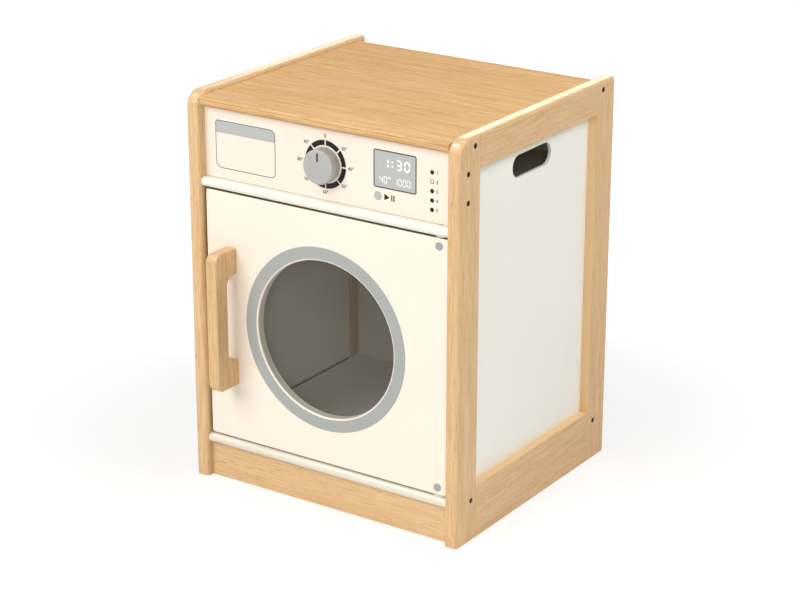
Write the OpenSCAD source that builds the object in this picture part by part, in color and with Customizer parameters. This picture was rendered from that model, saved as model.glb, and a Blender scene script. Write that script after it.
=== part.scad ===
// Toy washing machine: a wooden play cabinet with framed sides, a porthole door on pivot pins and
// a control panel with a turning programme knob.
// Millimetres. X runs to the right as seen from the front, Y from the front to the back, Z up.
// The origin lies on the floor, under the middle of the whole object with its handle.

/* [Overall] */
// Width over both side frames
width = 390; // [330:1:450]
// Depth of the side frames, from front to back
depth = 350; // [300:1:420]
// Height of the side frames
height = 500; // [450:1:600]

/* [Side frames] */
// Thickness of the frame members
frame_t = 18; // [16:0.5:24]
// Width of the upright stiles
stile_w = 42; // [40:1:60]
// Height of the top rails
top_rail_h = 40; // [38:1:50]
// Height of the bottom rails
bottom_rail_h = 67.5; // [62:0.5:90]
// Radius of the frame's top front corner, seen from the side
corner_r = 19; // [8:1:24]
// Rounding of the frame's front and top edges
edge_r = 5; // [2:0.5:6]
// Thickness of the side panels
side_panel_t = 4; // [3:0.5:6]
// From the frame's outer face in to the side panel
side_recess = 11; // [10:0.5:12]
// How far a side panel reaches into the rebate of each frame member
rebate_w = 8; // [5:0.5:10]
// Length of the hand slots
slot_l = 88; // [70:1:120]
// Height of the hand slots
slot_h = 28; // [22:1:34]
// From the top rail's lower edge down to the middle of the hand slots
slot_drop = 25.5; // [20:0.5:40]

/* [Boards] */
// Thickness of the top, middle and bottom boards
board_t = 12; // [11:0.5:16]
// Height of the plinth, which is where the bottom board starts
plinth_h = 46; // [36:0.5:60]
// Thickness of the plinth
plinth_t = 15; // [12:0.5:20]
// How far the plinth lies behind the frame's front
plinth_inset = 10.5; // [8:0.5:24]
// Height of the control panel, between the middle and top boards
control_h = 88; // [80:0.5:110]
// How far the side frames rise above the top board
lip_h = 5.5; // [3:0.5:10]
// How far the boards' rounded noses lie behind the frame's front
nose_inset = 3.5; // [0:0.5:5]
// Rounding of the top board's upper front edge
top_edge_r = 1; // [0.5:0.5:4]
// How far the cabinet's back lies inside the frame's back
back_inset = 13; // [5:0.5:16]
// Thickness of the back panel
back_t = 5; // [3:0.5:6]

/* [Door] */
// Thickness of the door
door_t = 15; // [14:0.5:16.5]
// How far the door's face lies behind the frame's front
door_inset = 8.5; // [6:0.5:12]
// Gap between the door and the side frames
door_side_gap = 2; // [1.5:0.25:3]
// Gap between the door and the middle board
door_top_gap = 2.2; // [1.8:0.1:3]
// Radius of the door's corners, seen from the front
door_corner_r = 4; // [4:0.5:12]
// Rounding of the door's edges
door_edge_r = 2; // [1.5:0.5:3.5]
// Radius of the porthole
porthole_r = 99.5; // [80:0.5:105]
// How far the porthole's middle lies above the door's middle
porthole_rise = 0; // [-5:0.5:5]
// Chamfer round the porthole's front edge
porthole_chamfer = 1.2; // [0.5:0.1:2]
// Side of the square window pane, let into the door's back
pane_w = 232; // [226:1:240]
// Thickness of the window pane
pane_t = 3; // [2.5:0.5:4]
// Radius of the window pane's corners
pane_corner_r = 10; // [4:1:20]
// From the door's front in to the window pane
pane_depth = 11; // [10:0.5:11.5]

/* [Handle] */
// Length of the handle
handle_l = 178; // [150:1:200]
// Thickness of the handle, across the door
handle_t = 16; // [14:0.5:20]
// How far the handle stands out from the door
handle_out = 40; // [34:1:50]
// Depth of the grip, front to back
grip_d = 22; // [16:0.5:24]
// Height of each foot of the handle
foot_h = 33; // [24:1:36]
// Radius of the handle's outer corners
handle_corner_r = 11; // [8:1:14]
// Radius of the finger opening's corners
finger_corner_r = 12; // [6:1:16]
// Rounding of the handle's edges
handle_edge_r = 2; // [1.5:0.5:4.5]
// From the side frame to the middle of the handle
handle_inset = 38.7; // [30:0.1:45]
// How far the handle's middle lies above the door's middle
handle_rise = 2.5; // [-10:0.5:10]

/* [Hinge] */
// From the side frame to the axis that the door turns about
hinge_inset = 14.4; // [13.5:0.1:16]
// Radius of the pivot pins
pin_r = 4; // [3:0.1:4.2]
// How far a pivot pin reaches into the door
pin_grip = 22; // [16:1:40]
// How far the pivot pins stop short of the boards' far faces
pin_recess = 1; // [0.5:0.5:3]
// Radial running clearance of the pivot pins and the knob bolt
running_gap = 0.05; // [0.02:0.01:0.08]
// Wall of the bushes round the pivot pins
bush_wall = 1.9; // [1:0.1:2]
// Radius of the bushes' flanges
bush_flange_r = 8; // [7:0.5:10]
// Thickness of the bushes' flanges, the lower of which carries the door
bush_flange_t = 1.5; // [1:0.1:1.7]
// From the door's top and bottom edges to the screws that lock the pins
lock_inset = 10; // [8:0.5:14]
// How far those screws' heads lie below the door's face
lock_head_sink = 0.3; // [0.1:0.1:1]
// Radius of the caps over the locking screws
cap_r = 4.8; // [4.4:0.1:6]
// How far the caps stand out from the door
cap_t = 1; // [0.5:0.1:2]

/* [Catch] */
// Width of the magnetic catch
catch_w = 46; // [36:1:60]
// Depth of the magnetic catch
catch_d = 15; // [12:0.5:20]
// Height of the magnetic catch
catch_h = 13; // [12:0.5:16]
// From the side frame to the middle of the catch
catch_inset = 45; // [40:1:80]
// Thickness of the catch's two pole plates
pole_t = 1.5; // [1:0.1:2]
// Thickness of the magnet between the pole plates
magnet_t = 4; // [3:0.5:6]
// How far the pole plates stand out from the catch
pole_out = 0.5; // [0.3:0.1:1]
// Wall of the catch above and below the magnet
catch_wall = 1.5; // [1:0.1:2]
// Width of the strike plate on the door
strike_w = 38; // [24:1:46]
// Height of the strike plate
strike_h = 10; // [8:0.5:11]
// Thickness of the strike plate
strike_t = 1.2; // [1:0.1:2]

/* [Control panel] */
// Thickness of the control panel
control_t = 9; // [8:0.5:12]
// How far the control panel's face lies behind the frame's front
control_inset = 13.3; // [10:0.1:16]
// From the top board down to the upper screws of the control panel
control_screw_drop = 24; // [12:1:28]
// Distance between the upper and lower screws of the control panel
control_screw_pitch = 34; // [20:1:40]

/* [Knob] */
// Radius of the knob
knob_r = 21; // [16:0.5:24]
// Length of the knob
knob_l = 15.5; // [14:0.5:20]
// Rounding of the knob's front edge
knob_edge_r = 2; // [1:0.5:4]
// Distance of the knob's axis to the right of the middle
knob_x = 1; // [-10:0.5:10]
// How far the knob's axis lies above the control panel's middle
knob_rise = 0; // [-5:0.1:5]
// Thickness of the felt disc that gives the knob its drag
felt_t = 1; // [0.5:0.5:2]
// Radius of the felt disc
felt_r = 15; // [10:0.5:15.5]
// Radius of the knob bolt
bolt_r = 3; // [2.5:0.1:3.2]
// Radius of the knob bolt's head
bolt_head_r = 5.5; // [4.5:0.1:7]
// Height of the knob bolt's head
bolt_head_h = 3.5; // [2.5:0.1:5]
// Radius of the washer behind the control panel
washer_r = 9; // [7:0.5:12]
// Thickness of the washer behind the control panel
washer_t = 1.6; // [1:0.1:2]
// Radius of the threaded insert in the knob
insert_r = 4.5; // [4:0.1:6]
// Length of the threaded insert in the knob
insert_l = 10; // [8:0.5:12]

/* [Joinery and screws] */
// Radius of the dowels
dowel_r = 4; // [3:0.5:5]
// How far a dowel reaches into a side frame
dowel_in_frame = 8; // [6:0.5:9]
// From the plinth's upper and lower edges to its dowels
plinth_dowel_inset = 11; // [9:0.5:14]
// How far a dowel reaches into a board
dowel_in_board = 22; // [15:1:30]
// How far the handle screws reach into the handle
handle_screw_grip = 24; // [16:1:30]
// From the side frames to the outer screws of the back panel
back_screw_inset = 40; // [30:1:80]
// From the window pane's edge to its screws
pane_screw_inset = 8; // [6:0.5:10]
// Height of the loose tenons in the frame's corner joints
tenon_h = 20; // [14:1:20]
// Thickness of the loose tenons
tenon_t = 6; // [4:0.5:6]
// Length of the loose tenons, half on each side of the joint
tenon_l = 36; // [24:1:40]
// From the frame's front to the front row of joints, the screws and dowels
front_joint_inset = 31.5; // [28:0.5:34]
// From the frame's back to the back row of joints
back_joint_inset = 27; // [26:0.5:32]
// Length of the side screws
side_screw_l = 40; // [30:1:50]
// Radius of the screws that hold the boards and the handle
screw_r = 2; // [1.5:0.1:2]
// Radius of those screws' heads
screw_head_r = 3.4; // [3:0.1:3.6]
// Height of those screws' heads
screw_head_h = 2.2; // [1.8:0.1:2.4]
// Radius of the small screws in the back panel, pane, catch and strike plate
small_screw_r = 1.5; // [1.2:0.1:1.7]
// Length of the small screws
small_screw_l = 12; // [8:1:13]

/* [Hidden] */
$fn = 64;

BEECH = "#dcb387";
CREAM = "#f6efdf";
WHITE = "#f4f1e6";
PLAIN_BOARD = "#c9b08c";
KNOB_GREY = "#c3c1bd";
STEEL = "#a9a9a6";
DARK_STEEL = "#5b5855";
BRASS = "#c2a253";
NYLON = "#dedbd2";
FELT = "#77746d";
SMOKE = [0.35, 0.34, 0.33, 0.6];

// How far a cutting solid passes a face
cut = 1;
// Where the frame and the cabinet start and end
handle_reach = handle_out - door_inset;
front = -(depth - handle_reach) / 2;
back = front + depth;
inner_x = width / 2 - frame_t;
cabinet_back = back - back_inset;
board_back = cabinet_back - back_t;
// Heights of the boards' lower faces
bottom_z = plinth_h;
floor_z = bottom_z + board_t;
top_z = height - lip_h - board_t;
control_z = top_z - control_h;
middle_z = control_z - board_t;
control_front = front + control_inset;
control_back = control_front + control_t;
// The rebate that takes the back panel's top edge
back_rebate_h = board_t / 2;
// The side panels and the frame's joints
rail_l = depth - 2 * stile_w;
panel_l = rail_l + 2 * rebate_w;
panel_z = bottom_rail_h - rebate_w;
panel_h = height - top_rail_h + rebate_w - panel_z;
tenon_x = (width - side_recess) / 2;
joint_ys = [front + stile_w, back - stile_w];
top_tenon_z = (top_z + height - top_rail_h + rebate_w) / 2;
bottom_tenon_z = bottom_z / 2;
slot_y = (front + back) / 2;
slot_z = height - top_rail_h - slot_drop;
// Rows of screws and dowels along the side frames
row_ys = [front + front_joint_inset, back - back_joint_inset];
control_screw_z = top_z - control_screw_drop;
side_screw_points = concat(
    [for (y = row_ys, z = [bottom_z, top_z]) [y, z + board_t / 2]],
    [for (z = [control_screw_z, control_screw_z - control_screw_pitch]) [control_front + control_t / 2, z]]);
middle_dowel_points = [for (y = row_ys) [y, middle_z + board_t / 2]];
plinth_y = front + plinth_inset;
plinth_dowel_points = [for (z = [plinth_dowel_inset, plinth_h - plinth_dowel_inset])
    [plinth_y + plinth_t / 2, z]];
// The back panel's screws, three in each board
back_screw_zs = [bottom_z + board_t / 2, middle_z + board_t / 2, top_z + back_rebate_h / 2];
back_screw_points = [for (side = [-1, 0, 1], z = back_screw_zs) [side * (inner_x - back_screw_inset), z]];
// The door
door_front = front + door_inset;
door_back = door_front + door_t;
door_z = floor_z + bush_flange_t;
door_h = middle_z - door_top_gap - door_z;
door_w = 2 * (inner_x - door_side_gap);
door_mid = door_z + door_h / 2;
porthole_z = door_mid + porthole_rise;
pane_back = door_front + pane_depth + pane_t;
pane_screw_grid = pane_w / 2 - pane_screw_inset;
pane_screw_points = [for (x = [-1, 0, 1], z = [-1, 0, 1]) if (x != 0 || z != 0)
    [x * pane_screw_grid, porthole_z + z * pane_screw_grid]];
// The handle
handle_x = -inner_x + handle_inset;
handle_z = door_mid + handle_rise;
finger_gap = handle_out - grip_d;
finger_l = handle_l - 2 * foot_h;
foot_mid = (handle_l - foot_h) / 2;
handle_screw_l = door_t + handle_screw_grip;
// The hinge
pivot_x = inner_x - hinge_inset;
pivot_y = door_front + door_t / 2;
bush_r = pin_r + running_gap + bush_wall;
lock_zs = [door_z + lock_inset, door_z + door_h - lock_inset];
lock_head_y = door_front + lock_head_sink + screw_head_h;
lock_screw_l = door_t / 2 + pin_r - screw_head_h;
// The catch
catch_x = -inner_x + catch_inset;
catch_front = door_back + strike_t + pole_out;
catch_z = middle_z - catch_h;
pole_z = catch_z + catch_wall;
pole_h = catch_h - 2 * catch_wall;
pole_d = catch_d - catch_wall;
strike_z = door_z + door_h - door_edge_r - strike_h;
// Half the width of each ear beside the catch's middle, and the height of its lower face
catch_ear_w = (catch_w - 2 * pole_t - magnet_t) / 4;
catch_ear_z = catch_z + catch_h / 2;
// The knob
knob_z = control_z + control_h / 2 + knob_rise;
knob_back = control_front - felt_t;
bolt_hole_r = bolt_r + running_gap;
// Heads of the small screws, and sockets as shares of a head's radius and height
small_head_r = 2 * small_screw_r;
small_head_h = small_screw_r;
driver_slot_w = small_screw_r / 2;
socket_share = 0.5;
socket_depth_share = 0.7;

// ---- Outlines and directions ----

// A strip with both corners of its far end rounded: length along x, thickness along y
module edge_section(length, thick, r) {
    intersection() {
        square([length, thick]);
        union() {
            translate([0, r])
                square([length, thick - 2 * r]);
            square([length - r, thick]);
            for (y = [r, thick - r])
                translate([length - r, y])
                    circle(r);
        }
    }
}

// A strip with all four corners rounded, centred along x
module soft_section(length, thick, r) {
    translate([-length / 2, r])
        square([length, thick - 2 * r]);
    translate([r - length / 2, 0])
        square([length - 2 * r, thick]);
    for (x = [r - length / 2, length / 2 - r], y = [r, thick - r])
        translate([x, y])
            circle(r);
}

// A slot with round ends, centred, longest along x
module obround(length, breadth) {
    square([length - breadth, breadth], center = true);
    for (side = [-1, 1])
        translate([side * (length - breadth) / 2, 0])
            circle(d = breadth);
}

// Extrudes along x an outline drawn in y and z
module along_x(length) {
    rotate([90, 0, 90])
        linear_extrude(length)
            children();
}

// Extrudes along y an outline whose x points up and whose y points to the right
module along_y(length) {
    rotate([-90, -90, 0])
        linear_extrude(length)
            children();
}

// A cylinder that points from the front to the back
module rod_y(r, length) {
    rotate([-90, 0, 0])
        cylinder(h = length, r = r);
}

// Places a right-hand piece on both sides
module both_sides() {
    children();
    mirror([1, 0, 0])
        children();
}

// A plate in the xy plane, centred, with round corners and all its edges rounded over
module soft_plate(length, breadth, thick, corner, edge) {
    translate([0, breadth / 2 - corner, 0])
        rotate([90, 0, 0])
            linear_extrude(breadth - 2 * corner)
                soft_section(length, thick, edge);
    translate([corner - length / 2, 0, 0])
        rotate([90, 0, 90])
            linear_extrude(length - 2 * corner)
                soft_section(breadth, thick, edge);
    for (side = [0, 1], end = [0, 1])
        mirror([side, 0, 0])
            mirror([0, end, 0])
                translate([length / 2 - corner, breadth / 2 - corner, 0])
                    rotate_extrude(angle = 90)
                        edge_section(corner, thick, edge);
}

// ---- Screws and pins, drawn along +z from the face they are driven into ----

// A countersunk screw, its head flush with z = 0 and its point at z = length
module countersunk_blank(length, r, head_r, head_h) {
    cylinder(h = length, r = r);
    cylinder(h = head_h, r1 = head_r, r2 = r);
}

module socket_screw(length) {
    difference() {
        countersunk_blank(length, screw_r, screw_head_r, screw_head_h);
        socket(screw_head_r, screw_head_h);
    }
}

// A six-sided socket, cut down from z = 0
module socket(head_r, head_h) {
    translate([0, 0, -cut])
        cylinder(h = cut + head_h * socket_depth_share, r = head_r * socket_share, $fn = 6);
}

// A small screw with a flat round head on top of z = 0 and a slot across it
module small_screw(length) {
    difference() {
        union() {
            cylinder(h = length, r = small_screw_r);
            translate([0, 0, -small_head_h])
                cylinder(h = small_head_h, r = small_head_r);
        }
        translate([0, 0, -small_head_h])
            cube([3 * small_head_r, driver_slot_w, small_head_h], center = true);
    }
}

// ---- Side frames, drawn on the right ----

// A board as large as a side panel, from the rebates' shoulder inwards
module side_panel_blank(thick) {
    translate([width / 2 - side_recess - thick, front + stile_w - rebate_w, panel_z])
        cube([thick, panel_l, panel_h]);
}

module frame_tenon_set() {
    for (y = joint_ys, z = [top_tenon_z, bottom_tenon_z])
        translate([tenon_x, y - tenon_l / 2, z])
            along_y(tenon_l)
                obround(tenon_h, tenon_t);
}

// Everything that is let into a side frame
module frame_cuts() {
    side_panel_blank(frame_t - side_recess + cut);
    frame_tenon_set();
    side_screw_blanks();
    dowel_set(middle_dowel_points);
    dowel_set(plinth_dowel_points);
}

module side_screw_blanks() {
    for (p = side_screw_points)
        translate([width / 2, p[0], p[1]])
            rotate([0, -90, 0])
                countersunk_blank(side_screw_l, screw_r, screw_head_r, screw_head_h);
}

module dowel_set(points) {
    for (p = points)
        translate([inner_x - dowel_in_board, p[0], p[1]])
            rotate([0, 90, 0])
                cylinder(h = dowel_in_board + dowel_in_frame, r = dowel_r);
}

// The rounded edge runs up the front, round the corner and back along the top
module front_stile_form() {
    translate([inner_x, front + corner_r, 0])
        linear_extrude(height - corner_r)
            rotate(-90)
                edge_section(corner_r, frame_t, edge_r);
    translate([inner_x, front + corner_r, height - corner_r])
        rotate([0, -90, 180])
            rotate_extrude(angle = 90)
                edge_section(corner_r, frame_t, edge_r);
    translate([inner_x, front + corner_r, 0])
        along_y(stile_w - corner_r)
            edge_section(height, frame_t, edge_r);
}

module front_stile() {
    color(BEECH)
        difference() {
            front_stile_form();
            frame_cuts();
        }
}

module back_stile() {
    color(BEECH)
        difference() {
            translate([inner_x, back - stile_w, 0])
                along_y(stile_w)
                    edge_section(height, frame_t, edge_r);
            frame_cuts();
        }
}

module top_rail() {
    color(BEECH)
        difference() {
            translate([inner_x, front + stile_w, height - top_rail_h])
                along_y(rail_l)
                    edge_section(top_rail_h, frame_t, edge_r);
            frame_cuts();
        }
}

module bottom_rail() {
    color(BEECH)
        difference() {
            translate([inner_x, front + stile_w, 0])
                cube([frame_t, rail_l, bottom_rail_h]);
            frame_cuts();
        }
}

module side_panel() {
    color(WHITE)
        difference() {
            side_panel_blank(side_panel_t);
            translate([inner_x, slot_y, slot_z])
                along_x(frame_t)
                    obround(slot_l, slot_h);
            dowel_set(middle_dowel_points);
        }
}

module left_front_stile() {
    mirror([1, 0, 0])
        front_stile();
}

module left_back_stile() {
    mirror([1, 0, 0])
        back_stile();
}

module left_top_rail() {
    mirror([1, 0, 0])
        top_rail();
}

module left_bottom_rail() {
    mirror([1, 0, 0])
        bottom_rail();
}

module left_side_panel() {
    mirror([1, 0, 0])
        side_panel();
}

module right_front_stile() {
    front_stile();
}

module right_back_stile() {
    back_stile();
}

module right_top_rail() {
    top_rail();
}

module right_bottom_rail() {
    bottom_rail();
}

module right_side_panel() {
    side_panel();
}

module frame_tenons() {
    color(PLAIN_BOARD)
        both_sides()
            frame_tenon_set();
}

module side_screws() {
    color(DARK_STEEL)
        both_sides()
            for (p = side_screw_points)
                translate([width / 2, p[0], p[1]])
                    rotate([0, -90, 0])
                        socket_screw(side_screw_l);
}

// ---- Boards ----

// A board between the side frames with a half-round nose, its lower face at z = 0
module nosed_board(length) {
    translate([-inner_x, front + nose_inset, 0])
        along_x(2 * inner_x) {
            translate([board_t / 2, 0])
                square([length - board_t / 2, board_t]);
            translate([board_t / 2, board_t / 2])
                circle(d = board_t);
        }
}

// Fills the upper half of a board's nose, and leaves a small rounding along its arris
module squared_upper_edge() {
    translate([-inner_x, front + nose_inset, 0])
        along_x(2 * inner_x) {
            translate([0, board_t / 2])
                square([board_t / 2, board_t / 2 - top_edge_r]);
            translate([top_edge_r, board_t / 2])
                square([board_t / 2 - top_edge_r, board_t / 2]);
            translate([top_edge_r, board_t - top_edge_r])
                circle(r = top_edge_r);
        }
}

// A pilot hole for each small screw of the back panel
module back_screw_pilots() {
    for (p = back_screw_points)
        translate([p[0], cabinet_back - small_screw_l, p[1]])
            rod_y(small_screw_r, small_screw_l + cut);
}

module top_board() {
    color(BEECH)
        difference() {
            translate([0, 0, top_z]) {
                nosed_board(cabinet_back - front - nose_inset);
                squared_upper_edge();
            }
            translate([-inner_x - cut, board_back, top_z - cut])
                cube([2 * (inner_x + cut), back_t + cut, back_rebate_h + cut]);
            both_sides()
                side_screw_blanks();
            back_screw_pilots();
        }
}

module middle_board() {
    color(WHITE)
        difference() {
            translate([0, 0, middle_z])
                nosed_board(board_back - front - nose_inset);
            both_sides()
                dowel_set(middle_dowel_points);
            translate([pivot_x, pivot_y, middle_z - cut])
                cylinder(h = board_t + 2 * cut, r = bush_r);
            back_screw_pilots();
            at_catch_ears()
                cylinder(h = small_screw_l, r = small_screw_r);
        }
}

module bottom_board() {
    color(WHITE)
        difference() {
            translate([0, 0, bottom_z])
                nosed_board(board_back - front - nose_inset);
            both_sides()
                side_screw_blanks();
            translate([pivot_x, pivot_y, bottom_z - cut])
                cylinder(h = board_t + 2 * cut, r = bush_r);
            back_screw_pilots();
        }
}

module board_dowels() {
    color(PLAIN_BOARD)
        both_sides()
            dowel_set(middle_dowel_points);
}

module plinth() {
    color(BEECH)
        difference() {
            translate([-inner_x, plinth_y, 0])
                cube([2 * inner_x, plinth_t, plinth_h]);
            both_sides()
                dowel_set(plinth_dowel_points);
        }
}

module plinth_dowels() {
    color(PLAIN_BOARD)
        both_sides()
            dowel_set(plinth_dowel_points);
}

module back_panel() {
    color(WHITE)
        difference() {
            translate([-inner_x, board_back, bottom_z])
                cube([2 * inner_x, back_t, top_z + back_rebate_h - bottom_z]);
            back_screw_pilots();
        }
}

module back_panel_screws() {
    color(STEEL)
        for (p = back_screw_points)
            translate([p[0], cabinet_back, p[1]])
                rotate([90, 0, 0])
                    small_screw(small_screw_l);
}

// ---- Control panel and knob ----

module control_panel() {
    color(CREAM)
        difference() {
            translate([-inner_x, control_front, control_z])
                cube([2 * inner_x, control_t, control_h]);
            both_sides()
                side_screw_blanks();
            translate([knob_x, control_front - cut, knob_z])
                rod_y(bolt_hole_r, control_t + 2 * cut);
        }
}

// Turns a profile drawn as radius and height about the knob's axis, starting at y and facing forward
module knob_turning(y) {
    translate([knob_x, y, knob_z])
        rotate([90, 0, 0])
            rotate_extrude()
                children();
}

module program_knob() {
    color(KNOB_GREY)
        knob_turning(knob_back)
            difference() {
                union() {
                    square([knob_r - knob_edge_r, knob_l]);
                    square([knob_r, knob_l - knob_edge_r]);
                    translate([knob_r - knob_edge_r, knob_l - knob_edge_r])
                        circle(knob_edge_r);
                }
                translate([-knob_edge_r, -cut])
                    square([knob_edge_r + insert_r, insert_l + cut]);
            }
}

module knob_insert() {
    color(BRASS)
        knob_turning(knob_back)
            translate([bolt_r, 0])
                square([insert_r - bolt_r, insert_l]);
}

module knob_bolt() {
    shank_l = washer_t + control_t + felt_t + insert_l;
    color(STEEL)
        knob_turning(control_back + washer_t + bolt_head_h)
            difference() {
                union() {
                    square([bolt_head_r, bolt_head_h]);
                    square([bolt_r, bolt_head_h + shank_l]);
                }
                translate([0, -cut])
                    square([bolt_head_r * socket_share, cut + bolt_head_h * socket_depth_share]);
            }
}

module knob_felt_disc() {
    color(FELT)
        knob_turning(control_front)
            translate([bolt_hole_r, 0])
                square([felt_r - bolt_hole_r, felt_t]);
}

module knob_washer() {
    color(STEEL)
        knob_turning(control_back + washer_t)
            translate([bolt_hole_r, 0])
                square([washer_r - bolt_hole_r, washer_t]);
}

// ---- Door ----

module door_panel() {
    color(CREAM)
        difference() {
            translate([0, door_back, door_mid])
                rotate([90, 0, 0])
                    soft_plate(door_w, door_h, door_t, door_corner_r, door_edge_r);
            translate([0, door_front - cut, porthole_z])
                rod_y(porthole_r, door_t + 2 * cut);
            translate([0, door_front, porthole_z])
                rotate([-90, 0, 0])
                    cylinder(h = porthole_chamfer, r1 = porthole_r + porthole_chamfer, r2 = porthole_r);
            pane_blank(door_t - pane_depth + cut);
            pivot_pin_blanks();
            lock_screw_blanks();
            handle_screw_blanks();
            pane_screw_blanks();
            strike_screw_blank();
        }
}

// A board as large as the window pane, from the pane's front face backwards
module pane_blank(thick) {
    translate([0, door_front + pane_depth + thick, porthole_z])
        rotate([90, 0, 0])
            linear_extrude(thick) {
                square([pane_w - 2 * pane_corner_r, pane_w], center = true);
                square([pane_w, pane_w - 2 * pane_corner_r], center = true);
                for (x = [-1, 1], y = [-1, 1])
                    translate([x, y] * (pane_w / 2 - pane_corner_r))
                        circle(pane_corner_r);
            }
}

module window_pane() {
    color(SMOKE)
        difference() {
            pane_blank(pane_t);
            pane_screw_blanks();
        }
}

module pane_screw_blanks() {
    for (p = pane_screw_points)
        translate([p[0], pane_back - small_screw_l, p[1]])
            rod_y(small_screw_r, small_screw_l);
}

module window_pane_screws() {
    color(STEEL)
        for (p = pane_screw_points)
            translate([p[0], pane_back, p[1]])
                rotate([90, 0, 0])
                    small_screw(small_screw_l);
}

// ---- Handle: a plate on edge with a finger opening, every edge rounded over ----

// The opening's cutter: straight through, and flared out at both faces by the edge rounding
module finger_cutter(length, breadth, thick, corner, edge) {
    inner = [length - 2 * corner, breadth - 2 * corner];
    translate([0, 0, -cut])
        linear_extrude(thick + 2 * cut) {
            square([length, inner[1]], center = true);
            square([inner[0], breadth], center = true);
            for (x = [-1, 1], y = [-1, 1])
                translate([x * inner[0] / 2, y * inner[1] / 2])
                    circle(corner);
        }
    for (face = [0, 1])
        translate([0, 0, face * thick])
            mirror([0, 0, face]) {
                for (turn = [0, 180])
                    rotate(turn) {
                        translate([-inner[0] / 2, breadth / 2, 0])
                            rotate([90, 0, 90])
                                linear_extrude(inner[0])
                                    flare_section(edge);
                        translate([length / 2, inner[1] / 2, 0])
                            rotate([90, 0, 0])
                                linear_extrude(inner[1])
                                    flare_section(edge);
                    }
                for (side = [0, 1], end = [0, 1])
                    mirror([side, 0, 0])
                        mirror([0, end, 0])
                            translate([inner[0] / 2, inner[1] / 2, 0])
                                rotate_extrude(angle = 90)
                                    translate([corner, 0])
                                        flare_section(edge);
            }
}

// What a rounding cutter takes off an edge at the origin: x away from the opening, y into the plate
module flare_section(edge) {
    difference() {
        translate([-cut, -cut])
            square(edge + cut);
        translate([edge, edge])
            circle(edge);
    }
}

module handle_screw_blanks() {
    for (end = [-1, 1])
        translate([handle_x, door_back, handle_z + end * foot_mid])
            rotate([90, 0, 0])
                countersunk_blank(handle_screw_l, screw_r, screw_head_r, screw_head_h);
}

module door_handle() {
    // The plate runs on past the door's face and is cut off flush with it
    plate_l = handle_out + handle_corner_r + cut;
    window_l = finger_gap + handle_corner_r + finger_corner_r + 2 * handle_edge_r;
    color(BEECH)
        difference() {
            translate([handle_x - handle_t / 2, door_front, handle_z])
                rotate([90, 0, 90]) {
                    difference() {
                        translate([plate_l / 2 - handle_out, 0, 0])
                            soft_plate(plate_l, handle_l, handle_t, handle_corner_r, handle_edge_r);
                        translate([window_l / 2 - finger_gap, 0, 0])
                            finger_cutter(window_l, finger_l, handle_t, finger_corner_r, handle_edge_r);
                        translate([0, -handle_l, -cut])
                            cube([2 * plate_l, 2 * handle_l, handle_t + 2 * cut]);
                    }
                }
            handle_screw_blanks();
        }
}

module handle_screws() {
    color(DARK_STEEL)
        for (end = [-1, 1])
            translate([handle_x, door_back, handle_z + end * foot_mid])
                rotate([90, 0, 0])
                    socket_screw(handle_screw_l);
}

// ---- Hinge ----

module pivot_pin_blanks() {
    translate([pivot_x, pivot_y, bottom_z + pin_recess])
        cylinder(h = door_z + pin_grip - bottom_z - pin_recess, r = pin_r);
    translate([pivot_x, pivot_y, door_z + door_h - pin_grip])
        cylinder(h = control_z - pin_recess - door_z - door_h + pin_grip, r = pin_r);
}

module lock_screw_blanks() {
    for (z = lock_zs)
        translate([pivot_x, door_front, z]) {
            translate([0, -cut, 0])
                rod_y(screw_head_r, cut + lock_head_y - door_front);
            rod_y(screw_r, lock_head_y - door_front + lock_screw_l);
        }
}

module upper_pivot_pin() {
    color(STEEL)
        difference() {
            translate([pivot_x, pivot_y, door_z + door_h - pin_grip])
                cylinder(h = control_z - pin_recess - door_z - door_h + pin_grip, r = pin_r);
            lock_screw_blanks();
        }
}

module lower_pivot_pin() {
    color(STEEL)
        difference() {
            translate([pivot_x, pivot_y, bottom_z + pin_recess])
                cylinder(h = door_z + pin_grip - bottom_z - pin_recess, r = pin_r);
            lock_screw_blanks();
        }
}

module pin_locking_screws() {
    color(DARK_STEEL)
        for (z = lock_zs)
            translate([pivot_x, lock_head_y, z])
                rotate([-90, 0, 0])
                    difference() {
                        union() {
                            cylinder(h = lock_screw_l, r = screw_r);
                            translate([0, 0, -screw_head_h])
                                cylinder(h = screw_head_h, r = screw_head_r);
                        }
                        translate([0, 0, -screw_head_h])
                            socket(screw_head_r, screw_head_h);
                    }
}

module hinge_caps() {
    color(KNOB_GREY)
        for (z = lock_zs)
            translate([pivot_x, door_front - cap_t, z])
                rod_y(cap_r, cap_t);
}

// A flanged bush, its flange below z = 0 and its barrel above
module hinge_bush() {
    color(NYLON)
        rotate_extrude()
            translate([pin_r + running_gap, 0]) {
                square([bush_wall, board_t]);
                translate([0, -bush_flange_t])
                    square([bush_flange_r - pin_r - running_gap, bush_flange_t]);
            }
}

module upper_hinge_bush() {
    translate([pivot_x, pivot_y, middle_z])
        hinge_bush();
}

module lower_hinge_bush() {
    translate([pivot_x, pivot_y, floor_z])
        mirror([0, 0, 1])
            hinge_bush();
}

// ---- Magnetic catch ----

module pole_plate_blanks() {
    for (side = [-1, 1])
        translate([catch_x + side * (magnet_t + pole_t) / 2 - pole_t / 2, catch_front - pole_out, pole_z])
            cube([pole_t, pole_d + pole_out, pole_h]);
}

module magnet_blank() {
    translate([catch_x - magnet_t / 2, catch_front, pole_z])
        cube([magnet_t, pole_d, pole_h]);
}

// Places a piece at the lower face of each ear, pointing up
module at_catch_ears() {
    for (side = [-1, 1])
        translate([catch_x + side * (catch_w / 2 - catch_ear_w), catch_front + catch_d / 2, catch_ear_z])
            children();
}

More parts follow.
